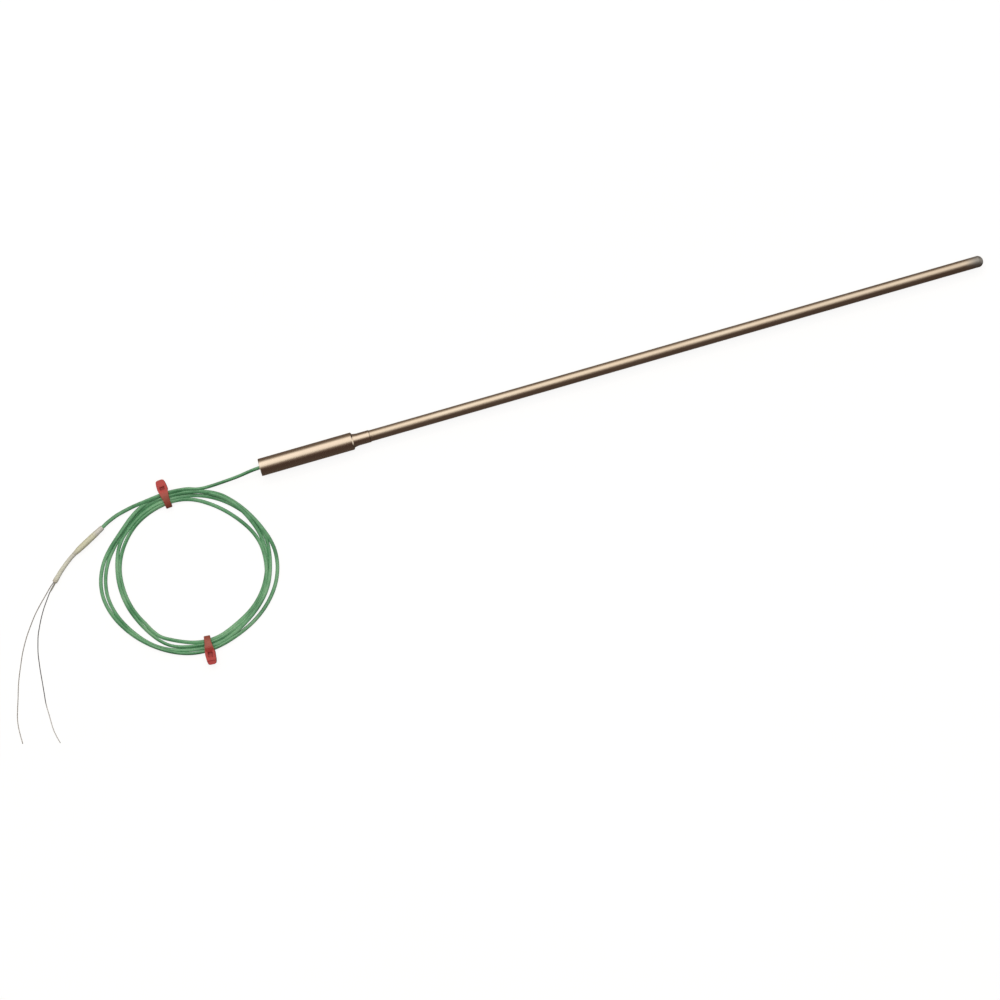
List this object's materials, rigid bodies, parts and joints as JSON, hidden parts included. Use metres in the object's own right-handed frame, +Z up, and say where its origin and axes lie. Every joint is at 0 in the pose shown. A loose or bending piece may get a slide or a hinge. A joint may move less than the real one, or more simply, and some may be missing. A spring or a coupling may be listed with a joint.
{
  "type": "thermocouple",
  "caption": "Mineral insulated thermocouple probe: slim straight stem with a domed tip, crimped neck, cylindrical pot seal, coiled green two-core lead with red cable ties and bare tails.",
  "frame": {"origin": "on the stem's axis, where the stem leaves the neck of the pot seal", "axes": "+X along the stem towards the hot tip; the probe lies on a table, with +Z up from the table and the lead's coil on the -Y side"},
  "size_m": [0.4148, 0.0886, 0.007],
  "materials": {
    "stainless_sheath": "drawn and bright",
    "stainless_pot": "turned and bright",
    "mineral_insulation": "packed powder",
    "thermocouple_alloy": "drawn wire",
    "crimp_metal": "bright",
    "epoxy_seal": "gloss",
    "potting_resin": "satin",
    "sleeving": "woven",
    "green_insulation": "semi-gloss",
    "white_insulation": "semi-gloss",
    "red_nylon": "satin",
    "cream_sleeving": "satin"
  },
  "bodies": {
    "root": {"sheath": "stainless_sheath", "tip_weld": "stainless_sheath", "neck_bush": "stainless_pot", "pot_barrel": "stainless_pot", "mgo_core": "mineral_insulation", "thermoelement_pos": "thermocouple_alloy", "thermoelement_neg": "thermocouple_alloy", "hot_junction": "thermocouple_alloy", "end_seal": "epoxy_seal", "potting_resin": "potting_resin", "rear_plug": "potting_resin", "splice_pos": "crimp_metal", "splice_neg": "crimp_metal", "splice_sleeve_pos": "sleeving", "splice_sleeve_neg": "sleeving", "lead_conductor_pos": "thermocouple_alloy", "lead_conductor_neg": "thermocouple_alloy", "lead_insulation_pos": "green_insulation", "lead_insulation_neg": "white_insulation", "lead_exit": "green_insulation", "lead_coil": "green_insulation", "lead_tail": "green_insulation", "cable_tie_1": "red_nylon", "cable_tie_2": "red_nylon", "tail_sleeve": "cream_sleeving", "core_sleeve": "cream_sleeving", "tail_wire_pos": "thermocouple_alloy", "tail_wire_neg": "thermocouple_alloy"}
  },
  "joints": []
}
